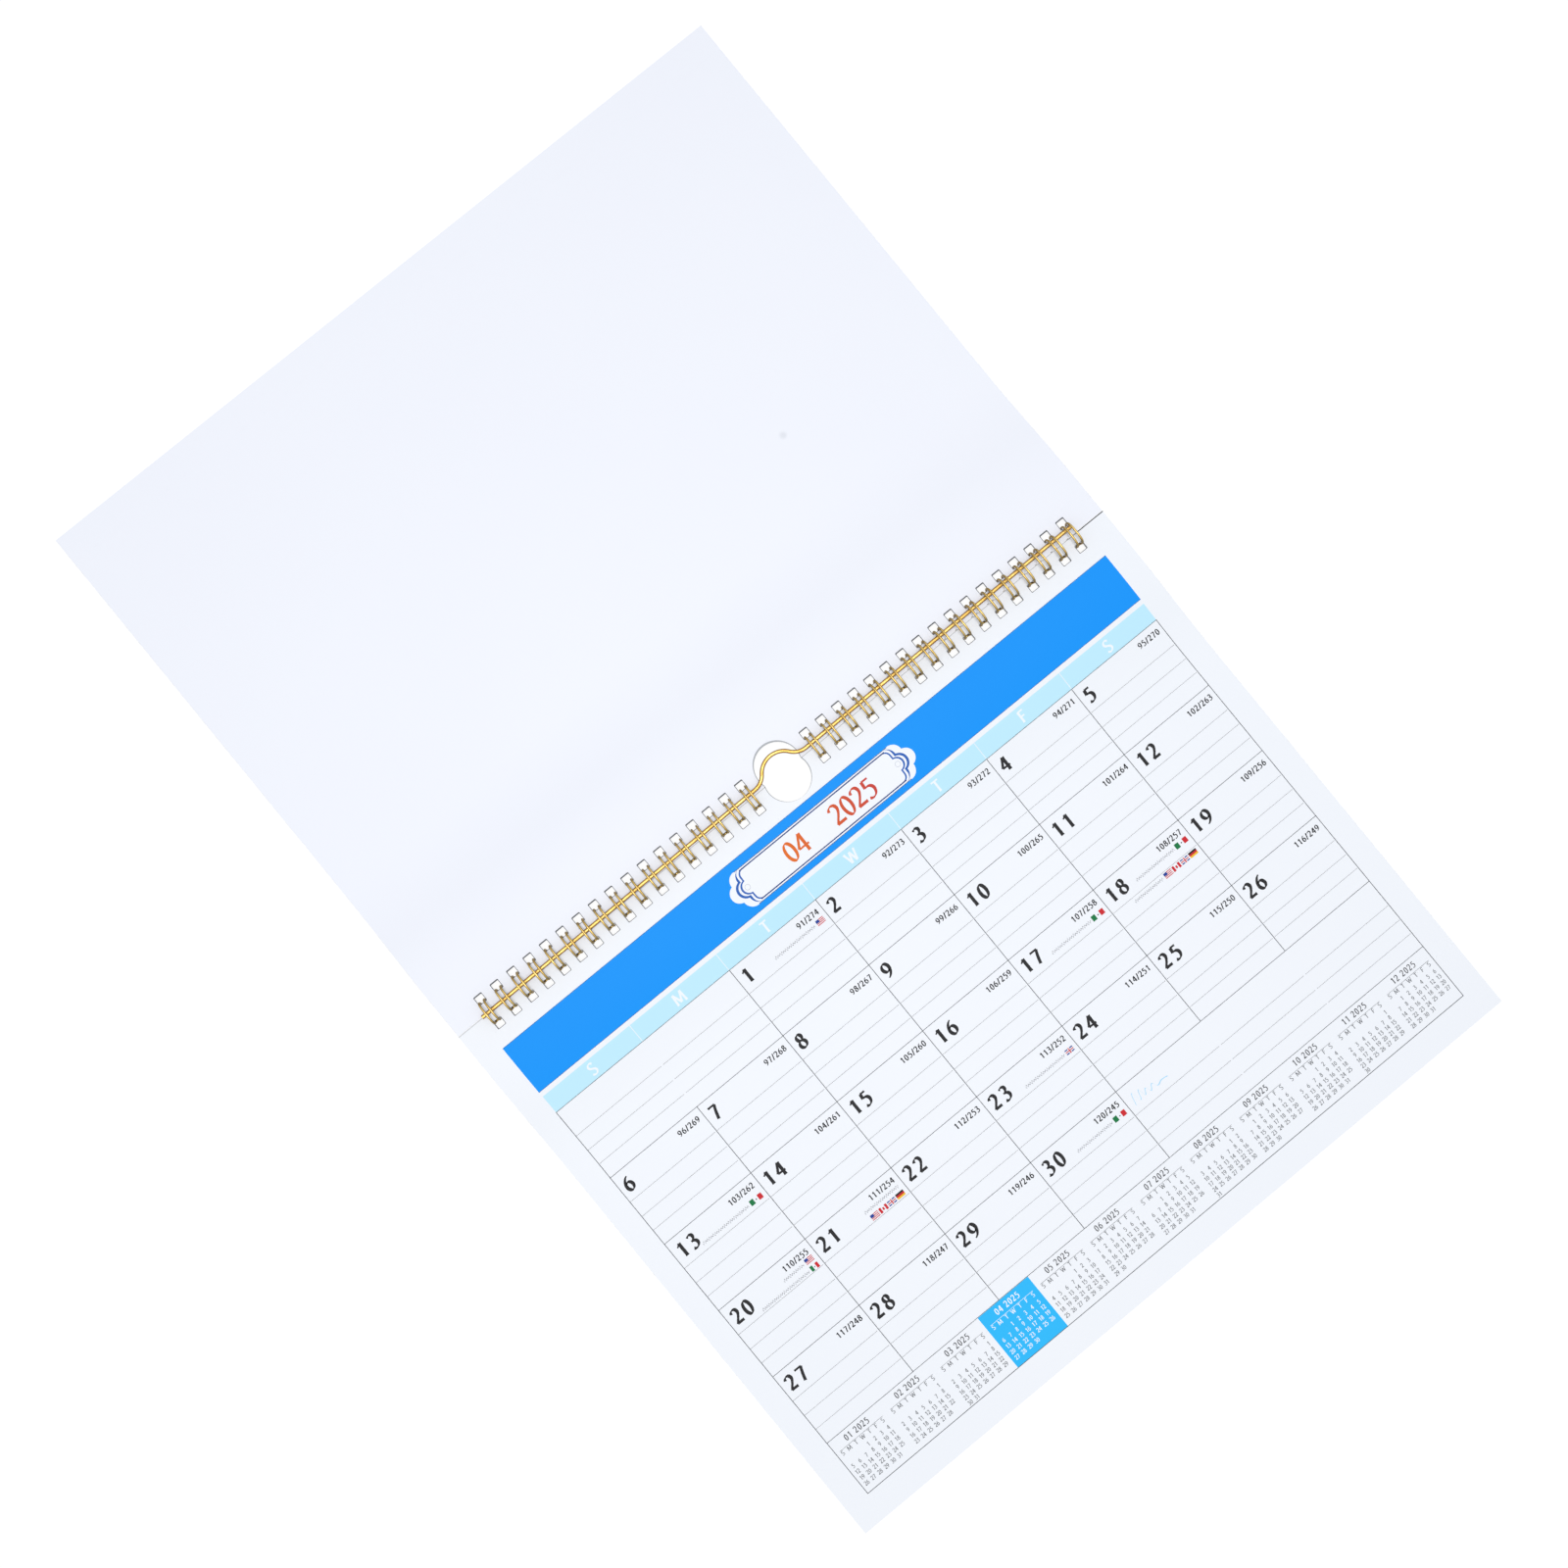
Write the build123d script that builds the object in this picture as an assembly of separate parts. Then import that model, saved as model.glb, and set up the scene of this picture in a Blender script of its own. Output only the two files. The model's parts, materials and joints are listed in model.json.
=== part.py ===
from build123d import *
from math import atan, cos, degrees, pi, sin, sqrt
import os

# A landscape wall calendar, bound along its middle by two combs of twin wire loops and lying open
# on a table. X runs along the binding, +Y towards the turned leaves, -Y towards the shown month,
# and +Z up from the table. The origin is on the table, under the middle of the binding.
# All sizes are in millimetres.

# Sheets
page_width = 337.5
page_height = 259.0
edge_to_seam = 0.1
board_thickness = 0.42
leaf_thickness = 0.12
cover_thickness = 0.3
leaves_left = 8
leaves_turned = 3
sheet_air = 0.03

# Wire combs
loop_pitch = 25.4 / 3
first_loop_place = 2
loop_end_margin = 12.0
loop_radius = 5.6
loop_runs = 9
loop_width = 2.5
wire_diameter = 0.9
wire_sides = 6
tip_angle = 212.0
heel_angle = 228.0
side_clearance = 0.1
wire_clearance = 0.07

# Hanger
rod_diameter = 1.7
rod_sides = 8
rod_clearance = 0.15
rod_end_left = 2.2
rod_end_right = 0.0
nose_height = 6.7
nose_half_width = 13.5
crown_half_width = 7.25
rod_skew = 0.58
rod_offset = 1.5

# Thumb cut
thumb_radius = 9.75
thumb_inset = 3.0

# Fall of the sheets from the loops to the table
level_length = 15.0
fall_length = 60.0

# Print on the shown leaf, measured from the binding line
ink_thickness = 0.05
ink_air = 0.01
side_margin = 10.75
foot_margin = 11.6
line_width = 0.4
band_top = 14.9
band_bottom = 37.9
plaque_place = -1.2
plaque_half_width = 44.4
plaque_top = 18.85
plaque_bottom = 35.35
plaque_corner = 3.0
plaque_lobe_radius = 3.9
plaque_lobe_sides = 8
plaque_lobe_reach = 3.2
strip_top = 40.0
strip_bottom = 48.3
strip_gap = 0.6
rows = 5
columns = 7
months = 12
month_on_show = 4
foot_strip_height = 26.3
notes_columns = 3
bare_first_columns = 2

# Worked out from the sizes above
wire_radius = wire_diameter / 2
wire_flat = wire_radius * cos(pi / wire_sides)
run_turn = (360 - heel_angle + tip_angle) / loop_runs * pi / 180
corner_radius = loop_radius / cos(run_turn / 2)
corner_angles = [heel_angle * pi / 180 + index * run_turn for index in range(loop_runs + 1)]
loop_corners = [(corner_radius * cos(angle), corner_radius * sin(angle)) for angle in corner_angles]

# All that turns does so about the middle of the loops, which stand on the table.
# The hanger lies there, and the sheets hang just under it.
hinge_height = -min(height for _, height in loop_corners) * (1 + wire_flat / loop_radius)
top_below_hinge = rod_diameter / 2 + rod_clearance

block_thickness = leaves_left * leaf_thickness
turned_thickness = leaves_turned * leaf_thickness
lower_pile = board_thickness + sheet_air + block_thickness + sheet_air + leaf_thickness
upper_pile = cover_thickness + sheet_air + turned_thickness
deepest = top_below_hinge + max(lower_pile, upper_pile)

hole_side = loop_width + wire_diameter + 2 * side_clearance
hole_inner = sqrt((loop_radius - wire_radius) ** 2 - deepest**2) - wire_clearance
hole_centre = hole_inner + hole_side / 2

last_loop_place = int((page_width / 2 - loop_end_margin) / loop_pitch)
loop_places = [place * loop_pitch for place in range(first_loop_place, last_loop_place + 1)]
cut_height = 2 * (hinge_height + loop_radius)

print_half_width = page_width / 2 - side_margin
foot_top = page_height - foot_margin - foot_strip_height
row_height = (foot_top - strip_bottom) / rows

# Each sheet's thickness lies between two heights above the underside of its pile.
board_levels = (0.0, board_thickness)
block_levels = (board_levels[1] + sheet_air, board_levels[1] + sheet_air + block_thickness)
leaf_levels = (block_levels[1] + sheet_air, block_levels[1] + sheet_air + leaf_thickness)
ink_levels = (leaf_levels[1] + ink_air, leaf_levels[1] + ink_air + ink_thickness)
cover_levels = (0.0, cover_thickness)
turned_levels = (cover_levels[1] + sheet_air, cover_levels[1] + sheet_air + turned_thickness)


def surface(side, pile, level):
    """The curve of a sheet's face across the page: level at the loops, then down to the table."""
    drop = hinge_height - top_below_hinge - pile
    slope = 2 * atan(drop / fall_length)
    fall_start = edge_to_seam + level_length
    fall_end = fall_start + fall_length
    middle = (fall_start + fall_end) / 2
    start = (side * edge_to_seam, drop + level)
    brow = (side * fall_start, drop + level)
    turn = (side * (middle + level * sin(slope)), drop / 2 + level * cos(slope))
    toe = (side * fall_end, level)
    end = (side * (edge_to_seam + page_height), level)
    edge = Line(start, brow)
    over = TangentArc(brow, turn, tangent=(side, 0))
    under = TangentArc(turn, toe, tangent=(side * cos(slope), -sin(slope)))
    flat = Line(toe, end)
    return edge, over, under, flat


def slab(side, pile, levels, half_width):
    """The space between two faces of a pile, as wide as asked."""
    low = surface(side, pile, levels[0])
    high = surface(side, pile, levels[1])
    near = Line(low[0] @ 0, high[0] @ 0)
    far = Line(low[-1] @ 1, high[-1] @ 1)
    outline = Plane.YZ * make_face([*low, *high, near, far])
    return extrude(outline, half_width, dir=(1, 0, 0), both=True)


def sheet(side, pile, levels):
    """A punched sheet, or a block of them, with its thumb cut."""
    body = slab(side, pile, levels, page_width / 2)
    hole = Box(hole_side, hole_side, cut_height)
    places = loop_places + [-place for place in loop_places]
    holes = [Pos(place, side * hole_centre, 0) * hole for place in places]
    thumb = Pos(0, side * (edge_to_seam + thumb_inset), 0) * Cylinder(thumb_radius, cut_height)
    return body - holes - thumb


def wire_comb(places):
    """One bent wire: up round each loop to its tip and back, then along the heel to the next."""
    heel = loop_corners[0]
    route = [(places[0] - loop_pitch / 2, *heel)]
    for place in places:
        route += [(place - loop_width / 2, y, z) for y, z in loop_corners]
        route += [(place + loop_width / 2, y, z) for y, z in reversed(loop_corners)]
    route.append((places[-1] + loop_pitch / 2, *heel))

    line = Polyline(*route)
    first_run = Vector(*route[2]) - Vector(*route[1])
    start = Plane(origin=route[0], x_dir=first_run, z_dir=(1, 0, 0))
    section = start * RegularPolygon(wire_radius, wire_sides)
    return Pos(0, 0, hinge_height) * sweep(section, path=line, transition=Transition.RIGHT)


def hanger():
    """A straight wire through the loops, a little askew, with a nose bent in its middle for a nail."""
    bend = 2 * atan(nose_height / nose_half_width)
    crown_radius = crown_half_width / sin(bend)
    foot_radius = (nose_half_width - crown_half_width) / sin(bend)
    reach = loop_places[-1] + loop_width / 2 + wire_radius
    left = Line((-reach - rod_end_left, 0), (-nose_half_width, 0))
    foot = JernArc(left @ 1, left % 1, foot_radius, degrees(bend))
    crown = JernArc(foot @ 1, foot % 1, crown_radius, -2 * degrees(bend))
    other_foot = JernArc(crown @ 1, crown % 1, foot_radius, degrees(bend))
    right = Line(other_foot @ 1, (reach + rod_end_right, 0))
    line = Curve() + [left, foot, crown, other_foot, right]
    flat_up = 180 / rod_sides
    start = Plane(origin=left @ 0, z_dir=left % 0)
    section = start * RegularPolygon(rod_diameter / 2, rod_sides, rotation=flat_up)
    return Pos(0, rod_offset, hinge_height) * Rot(0, 0, rod_skew) * sweep(section, path=line)


def field(left, right, top, bottom):
    """An upright block over a rectangle of the print, top and bottom measured from the binding."""
    width = right - left
    height = bottom - top
    return Pos((left + right) / 2, -(top + bottom) / 2, 0) * Box(width, height, cut_height)


def plaque_block():
    """The title plaque's outline: a bar with cut corners and a lobe at each end."""
    middle = -(plaque_top + plaque_bottom) / 2
    bar = Rectangle(2 * plaque_half_width, plaque_bottom - plaque_top)
    outline = chamfer(bar.vertices(), plaque_corner)
    lobe_centre = plaque_half_width + plaque_lobe_reach - plaque_lobe_radius
    for end in (-1, 1):
        outline += Pos(end * lobe_centre, 0) * RegularPolygon(plaque_lobe_radius, plaque_lobe_sides)
    return Pos(plaque_place, middle, 0) * extrude(outline, cut_height / 2, both=True)


def printed():
    """The fields of ink on the shown leaf, each a thin skin on its upper face."""
    skin = slab(-1, lower_pile, ink_levels, print_half_width)
    column_width = 2 * print_half_width / columns
    grid_top = strip_bottom
    grid_bottom = foot_top + foot_strip_height
    month_width = 2 * print_half_width / months

    band = field(-print_half_width, print_half_width, band_top, band_bottom)
    plaque = plaque_block()

    strip = []
    for column in range(columns):
        left = -print_half_width + column * column_width + strip_gap / 2
        right = left + column_width - strip_gap
        strip.append(field(left, right, strip_top, strip_bottom))

    lines = []
    for row in range(rows + 1):
        level = grid_top + row * row_height
        lines.append(field(-print_half_width, print_half_width, level, level + line_width))
    lines.append(field(-print_half_width, print_half_width, grid_bottom - line_width, grid_bottom))
    for column in range(columns + 1):
        place = -print_half_width + column * (2 * print_half_width - line_width) / columns
        top = grid_top
        bottom = foot_top
        if 0 < column < bare_first_columns:
            top = grid_top + row_height
        if columns - notes_columns < column < columns:
            bottom = foot_top - row_height
        if column in (0, columns):
            bottom = grid_bottom
        lines.append(field(place, place + line_width, top, bottom))

    month_left = -print_half_width + (month_on_show - 1) * month_width
    highlight = field(month_left, month_left + month_width, foot_top + line_width, grid_bottom - line_width)

    return {
        "title_band": skin & (band - plaque),
        "title_plaque": skin & plaque,
        "weekday_strip": skin & (strip[0] + strip[1:]),
        "grid_lines": skin & (lines[0] + lines[1:]),
        "month_highlight": skin & highlight,
    }


nodes = {
    "back_board": sheet(-1, lower_pile, board_levels),
    "remaining_leaves": sheet(-1, lower_pile, block_levels),
    "shown_leaf": sheet(-1, lower_pile, leaf_levels),
    "front_cover": sheet(1, upper_pile, cover_levels),
    "turned_leaves": sheet(1, upper_pile, turned_levels),
    "left_wire_comb": wire_comb([-place for place in reversed(loop_places)]),
    "right_wire_comb": wire_comb(loop_places),
    "hanger": hanger(),
    **printed(),
}

os.makedirs("parts", exist_ok=True)
for name, shape in nodes.items():
    export_step(shape, f"parts/{name}.step")
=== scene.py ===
import calendar
import json
import random
from math import asin, atan2, cos, pi, radians, sin, sqrt

import bmesh
import bpy
from mathutils import Matrix, Vector


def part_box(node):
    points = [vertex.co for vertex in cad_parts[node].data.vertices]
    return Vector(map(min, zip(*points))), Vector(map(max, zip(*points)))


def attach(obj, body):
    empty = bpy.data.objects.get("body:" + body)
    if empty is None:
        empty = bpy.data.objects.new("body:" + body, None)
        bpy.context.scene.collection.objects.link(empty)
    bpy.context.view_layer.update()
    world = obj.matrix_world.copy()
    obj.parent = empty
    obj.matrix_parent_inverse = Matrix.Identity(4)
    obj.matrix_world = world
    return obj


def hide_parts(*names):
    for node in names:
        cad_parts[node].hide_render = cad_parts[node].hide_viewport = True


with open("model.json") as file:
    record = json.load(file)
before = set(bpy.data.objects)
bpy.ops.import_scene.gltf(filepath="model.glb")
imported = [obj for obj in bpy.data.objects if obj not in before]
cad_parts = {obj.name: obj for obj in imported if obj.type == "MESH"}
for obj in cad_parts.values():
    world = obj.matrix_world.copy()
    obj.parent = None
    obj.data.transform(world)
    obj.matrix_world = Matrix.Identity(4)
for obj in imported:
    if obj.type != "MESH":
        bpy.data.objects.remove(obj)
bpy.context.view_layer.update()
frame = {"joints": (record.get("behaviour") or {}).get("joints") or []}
mm = 0.001

# The camera stands nearly straight above the open calendar, turned so that the binding
# runs up from the lower left, as in the photograph.
camera_place = Vector((-37.05, -8.95, 878.5)) * mm
camera_aim = Vector((-2.55, -4.15, 0.0)) * mm
picture_right = Vector((0.7735, -0.6332, 0.0270))
lens = bpy.data.cameras.new("camera")
lens.sensor_width = 36.0
lens.lens = 49.5
camera = bpy.data.objects.new("camera", lens)
bpy.context.collection.objects.link(camera)
back = (camera_place - camera_aim).normalized()
up = back.cross(picture_right).normalized()
right = up.cross(back)
camera.matrix_world = Matrix.Translation(camera_place) @ Matrix((right, up, back)).transposed().to_4x4()
bpy.context.scene.camera = camera

# The sheets: coated leaves between a thin front cover and a card back, trimmed square and punched
# on one die, with a square hole for each loop and a round cut for the thumb. They lie open,
# level at the wires, and fall to the table in a slow double curve.
sheet_width = 337.5
sheet_height = 259.0
seam = 0.1
lower_side = -1
upper_side = 1
level_length = 15.0
fall_length = 60.0
strip_width = 2.5
board_thickness = 0.42
cover_thickness = 0.3
leaf_pitch = 0.12
leaf_air = 0.02
sheet_air = 0.03
leaves_left = 8
leaves_turned = 3
trim_error = 0.16
trim_seed = 5
first_loop = 2
last_loop = 18
loop_pitch = 25.4 / 3
loop_places = [place * loop_pitch for place in range(first_loop, last_loop + 1)]
hole_width = 3.6
hole_height = 3.35
hole_centre = 6.08
hole_corner = 0.3
hole_corner_steps = 3
thumb_radius = 9.75
thumb_centre = seam + 3.0
thumb_steps = 64
weld_gap = 0.0002
sharp_edge = radians(35)
cloud_scale = 9.0
fibre_strength = 0.4
speck_level = 1.5
speck_core = 0.3
lower_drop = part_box("back_board")[1].z / mm - board_thickness
upper_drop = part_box("front_cover")[1].z / mm - cover_thickness


def on_slope(x, reach, level, side, drop):
    """Where a point of a pile lies, from its reach across the page and its level in the pile."""
    brow = seam + level_length
    toe = brow + fall_length
    curve_radius = (fall_length**2 + drop**2) / (4 * drop)
    lean = 0.0
    height = drop if reach <= brow else 0.0
    if brow < reach <= (brow + toe) / 2:
        lean = asin((reach - brow) / curve_radius)
        height = drop - curve_radius * (1 - cos(lean))
    elif brow < reach <= toe:
        lean = asin((toe - reach) / curve_radius)
        height = curve_radius * (1 - cos(lean))
    return Vector((x, side * (reach + level * sin(lean)), height + level * cos(lean))) * mm


def thumb_angles():
    """The directions round the thumb cut, from one end of its arc to the other."""
    gape = asin((thumb_centre - seam) / thumb_radius)
    return [pi + gape - step / thumb_steps * (pi + 2 * gape) for step in range(thumb_steps + 1)]


def sheet_edge(left_trim, right_trim, foot_trim):
    """The trimmed edge of a sheet, with the round thumb cut in its bound side."""
    left_side = -sheet_width / 2 + left_trim
    right_side = sheet_width / 2 - right_trim
    foot = seam + sheet_height - foot_trim
    arc = [(thumb_radius * cos(angle), thumb_centre + thumb_radius * sin(angle)) for angle in thumb_angles()]
    return [(left_side, seam), *arc, (right_side, seam), (right_side, foot), (left_side, foot)]


def punched_holes():
    """The outline of each square hole, with its rounded corners."""
    outlines = []
    half_width = hole_width / 2 - hole_corner
    half_height = hole_height / 2 - hole_corner
    for place in loop_places + [-place for place in loop_places]:
        hole = []
        for turn, (along, across) in enumerate(((1, 1), (-1, 1), (-1, -1), (1, -1))):
            for step in range(hole_corner_steps + 1):
                angle = (turn + step / hole_corner_steps) * pi / 2
                hole.append((place + along * half_width + hole_corner * cos(angle),
                             hole_centre + across * half_height + hole_corner * sin(angle)))
        outlines.append(hole)
    return outlines


def cut_flat(body, edges, low, high, side, drop):
    """Adds a flat shape with its holes to the mesh, then lays it over the slope in narrow strips."""
    outline = bpy.data.curves.new("outline", "CURVE")
    outline.dimensions = "2D"
    outline.fill_mode = "BOTH"
    outline.extrude = (high - low) / 2
    for edge in edges:
        line = outline.splines.new("POLY")
        line.points.add(len(edge) - 1)
        for knot, (x, reach) in zip(line.points, edge):
            knot.co = (x, reach, 0, 1)
        line.use_cyclic_u = True
    carrier = bpy.data.objects.new("outline", outline)
    flat = bpy.data.meshes.new_from_object(carrier)
    bpy.data.objects.remove(carrier)
    bpy.data.curves.remove(outline)

    cut = bmesh.new()
    cut.from_mesh(flat)
    bmesh.ops.remove_doubles(cut, verts=cut.verts, dist=weld_gap)
    for strip in range(int(fall_length / strip_width) + 1):
        reach = seam + level_length + strip * strip_width
        geometry = cut.verts[:] + cut.edges[:] + cut.faces[:]
        bmesh.ops.bisect_plane(cut, geom=geometry, plane_co=(0, reach, 0), plane_no=(0, 1, 0))
    middle = (low + high) / 2
    for vertex in cut.verts:
        x, reach, rise = vertex.co
        vertex.co = on_slope(x, reach, middle + rise, side, drop)
    bmesh.ops.recalc_face_normals(cut, faces=cut.faces)
    cut.to_mesh(flat)
    cut.free()
    body.from_mesh(flat)
    bpy.data.meshes.remove(flat)


def cut_leaves(body, count, foot, side, drop):
    """Lays leaves one on another from a height in the pile, each trimmed a little differently."""
    for leaf in range(count):
        edge = sheet_edge(*(chance.uniform(0, trim_error) for _ in range(3)))
        low = foot + leaf * leaf_pitch + leaf_air
        cut_flat(body, [edge, *holes], low, low + leaf_pitch - leaf_air, side, drop)


def add_piece(name, body, material, moves_with, finish, *stands_for):
    """Turns a mesh into a piece that moves with a body of the calendar and stands for its nodes."""
    mesh = bpy.data.meshes.new(name)
    body.to_mesh(mesh)
    body.free()
    mesh.polygons.foreach_set("use_smooth", [True] * len(mesh.polygons))
    mesh.set_sharp_from_angle(angle=sharp_edge)
    mesh.materials.append(material)
    piece = bpy.data.objects.new(name, mesh)
    bpy.context.collection.objects.link(piece)
    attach(piece, moves_with)
    if stands_for:
        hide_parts(*stands_for)


def shade(red, green, blue):
    """A colour as read on a screen, 0 to 255, turned into the linear values of a shader."""
    return [((value / 255 + 0.055) / 1.055) ** 2.4 for value in (red, green, blue)] + [1.0]


def new_material(name):
    material = bpy.data.materials.new(name)
    material.use_nodes = True
    return material, material.node_tree, material.node_tree.nodes["Principled BSDF"]


def grain(tree, place, scale, detail):
    """An irregular pattern that stays with the piece."""
    pattern = tree.nodes.new("ShaderNodeTexNoise")
    pattern.inputs["Scale"].default_value = scale
    pattern.inputs["Detail"].default_value = detail
    tree.links.new(place.outputs["Object"], pattern.inputs["Vector"])
    return pattern.outputs["Fac"]


def graded(tree, value, start, end, low=0.0, high=1.0, interpolation="LINEAR"):
    """Goes from low to high while a value goes from start to end."""
    ramp = tree.nodes.new("ShaderNodeMapRange")
    ramp.interpolation_type = interpolation
    ramp.inputs["From Min"].default_value = start
    ramp.inputs["From Max"].default_value = end
    ramp.inputs["To Min"].default_value = low
    ramp.inputs["To Max"].default_value = high
    tree.links.new(value, ramp.inputs["Value"])
    return ramp.outputs["Result"]


def mixed(tree, first, second, share):
    """One colour going over to another by a share. Each is a colour or what another node gives."""
    blend = tree.nodes.new("ShaderNodeMix")
    blend.data_type = "RGBA"
    for socket, colour in (("A", first), ("B", second)):
        if isinstance(colour, bpy.types.NodeSocket):
            tree.links.new(colour, blend.inputs[socket])
        else:
            blend.inputs[socket].default_value = colour
    tree.links.new(share, blend.inputs["Factor"])
    return blend.outputs["Result"]


def relief(tree, pattern, strength, depth):
    """Lets a pattern stand out of the surface, by a depth in millimetres."""
    bump = tree.nodes.new("ShaderNodeBump")
    bump.inputs["Strength"].default_value = strength
    bump.inputs["Distance"].default_value = depth * mm
    tree.links.new(pattern, bump.inputs["Height"])
    tree.links.new(bump.outputs["Normal"], tree.nodes["Principled BSDF"].inputs["Normal"])


def paper(name, colour, second, roughness, fibre_size, fibre_depth, gloss=0.35, specks=(), fade=None):
    """Paper or card: a little cloudy in colour, with the fine tooth of its fibres.

    A speck is its x and y, its spread, its strength and its colour. A fade is the x at which the
    second colour begins and the x at which it has taken over.
    """
    material, tree, shader = new_material(name)
    shader.inputs["Roughness"].default_value = roughness
    shader.inputs["Specular IOR Level"].default_value = gloss
    place = tree.nodes.new("ShaderNodeTexCoord")
    if fade:
        across = tree.nodes.new("ShaderNodeSeparateXYZ")
        tree.links.new(place.outputs["Object"], across.inputs["Vector"])
        share = graded(tree, across.outputs["X"], fade[0] * mm, fade[1] * mm)
    else:
        share = grain(tree, place, cloud_scale, detail=3.0)
    base = mixed(tree, shade(*colour), shade(*second), share)
    for x, y, spread, strength, dirt in specks:
        away = tree.nodes.new("ShaderNodeVectorMath")
        away.operation = "DISTANCE"
        away.inputs[1].default_value = (x * mm, y * mm, speck_level * mm)
        tree.links.new(place.outputs["Object"], away.inputs[0])
        spot = graded(tree, away.outputs["Value"], start=spread * mm, end=speck_core * spread * mm,
                      high=strength, interpolation="SMOOTHSTEP")
        base = mixed(tree, base, shade(*dirt), spot)
    tree.links.new(base, shader.inputs["Base Color"])
    relief(tree, grain(tree, place, 1 / (fibre_size * mm), detail=2.0), fibre_strength, fibre_depth)
    return material


leaf_finish = {"roughness": 0.5, "fibre_size": 0.25, "fibre_depth": 0.004}
page_speck = (87.6, 106.6, 2.4, 0.35, (190, 195, 205))
leaf_paper = paper("leaf_paper", (241, 244, 250), (238, 242, 249), **leaf_finish)
turned_paper = paper("turned_leaf_paper", (240, 243, 251), (237, 240, 250), **leaf_finish,
                     specks=[page_speck])
cover_card = paper("cover_card", (240, 241, 243), (234, 236, 240), roughness=0.45, fibre_size=0.3,
                   fibre_depth=0.006)
back_card = paper("back_card", (226, 224, 218), (215, 212, 205), roughness=0.75, fibre_size=0.5,
                  fibre_depth=0.02)

chance = random.Random(trim_seed)
holes = punched_holes()
square_edge = sheet_edge(0, 0, 0)

board = bmesh.new()
cut_flat(board, [square_edge, *holes], 0.0, board_thickness, lower_side, lower_drop)
add_piece("back_board_card", board, back_card, "bound_block", "board", "back_board")

block = bmesh.new()
block_foot = board_thickness + sheet_air
cut_leaves(block, leaves_left, block_foot, lower_side, lower_drop)
add_piece("later_month_leaves", block, leaf_paper, "bound_block", "leaves", "remaining_leaves")

shown = bmesh.new()
shown_low = block_foot + leaves_left * leaf_pitch + sheet_air
shown_top = shown_low + leaf_pitch
cut_flat(shown, [square_edge, *holes], shown_low, shown_top, lower_side, lower_drop)
add_piece("shown_month_leaf", shown, leaf_paper, "shown_month", "leaves", "shown_leaf")

cover = bmesh.new()
cut_flat(cover, [square_edge, *holes], 0.0, cover_thickness, upper_side, upper_drop)
add_piece("front_cover_card", cover, cover_card, "turned_over", "cover", "front_cover")

turned = bmesh.new()
cut_leaves(turned, leaves_turned, cover_thickness + sheet_air, upper_side, upper_drop)
add_piece("turned_over_leaves", turned, turned_paper, "turned_over", "leaves", "turned_leaves")

# The cut edges: a fine grey line of painted shade round every hole and round the thumb cut stands for
# their walls in shade, and a painted shadow line lies along the trimmed edge at the binding.
rim_width = 0.24
far_rim_width = 0.56
thumb_rim_width = 0.34
shown_thumb_far_width = 0.06
turned_thumb_far_width = 0.8
bound_line_width = 0.42
bound_line_dark = (148, 156)
rim_thickness = 0.006
rim_air = 0.001
turned_top = cover_thickness + sheet_air + leaves_turned * leaf_pitch


def thumb_rim(far_width):
    """The rim of painted shade round the thumb cut, growing or thinning to the width asked for at the far
    side of the arc.
    """
    near, away = [], []
    for angle in thumb_angles():
        radius = thumb_radius + thumb_rim_width + (far_width - thumb_rim_width) * max(0.0, sin(angle))**2
        near.append((thumb_radius * cos(angle), thumb_centre + thumb_radius * sin(angle)))
        away.append((radius * cos(angle), thumb_centre + radius * sin(angle)))
    return near, away


def hole_rims(far_width):
    """The rims of painted shade round the punched holes, as wide as asked on the side away from the wires."""
    rims = []
    for hole in holes:
        middle = sum(x for x, _ in hole) / len(hole)
        grow = 1 + 2 * rim_width / hole_width
        outer = []
        for x, reach in hole:
            edge = hole_centre + (reach - hole_centre) * grow
            if reach > hole_centre:
                edge += far_width - rim_width
            outer.append((middle + (x - middle) * grow, edge))
        rims.append((hole, outer))
    return rims


def bound_lines():
    """The painted shadow line along the trimmed edge at the binding, left and right of the thumb cut."""
    gap = sqrt(thumb_radius**2 - (thumb_centre - seam) ** 2) + rim_width
    return [[[(start, reach), (end, reach)] for reach in (seam, seam + bound_line_width)]
            for start, end in ((-sheet_width / 2, -gap), (gap, sheet_width / 2))]


def lay_ribbon(body, near_line, far_line, level, thickness, side, drop, closed):
    """Lays a thin band between two lines of (x, reach) points on the face of a sheet."""
    rings = []
    for near, far in zip(near_line, far_line):
        corners = ((near, level), (far, level), (far, level + thickness), (near, level + thickness))
        rings.append([body.verts.new(on_slope(*point, height, side, drop)) for point, height in corners])
    pairs = list(zip(rings, rings[1:]))
    if closed:
        pairs.append((rings[-1], rings[0]))
    else:
        body.faces.new(rings[0])
        body.faces.new(rings[-1])
    for first, second in pairs:
        for corner in range(4):
            after = (corner + 1) % 4
            body.faces.new((first[corner], first[after], second[after], second[corner]))


def add_rims(name, lines, closed, material, moves_with, top, side, drop):
    """Lays rims on a leaf's upper face and makes them a piece that moves with the leaf."""
    rims = bmesh.new()
    for near, far in lines:
        lay_ribbon(rims, near, far, top + rim_air, rim_thickness, side, drop, closed)
    bmesh.ops.recalc_face_normals(rims, faces=rims.faces)
    add_piece(name, rims, material, moves_with, "leaves")


# Painted shade: a grey skin of paper laid on the leaf where its cut edges lie in shade.
def crushed_paper(name, colour, second, fade=None):
    return paper(name, colour, second, roughness=0.8, fibre_size=0.12, fibre_depth=0.01, fade=fade)


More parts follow.
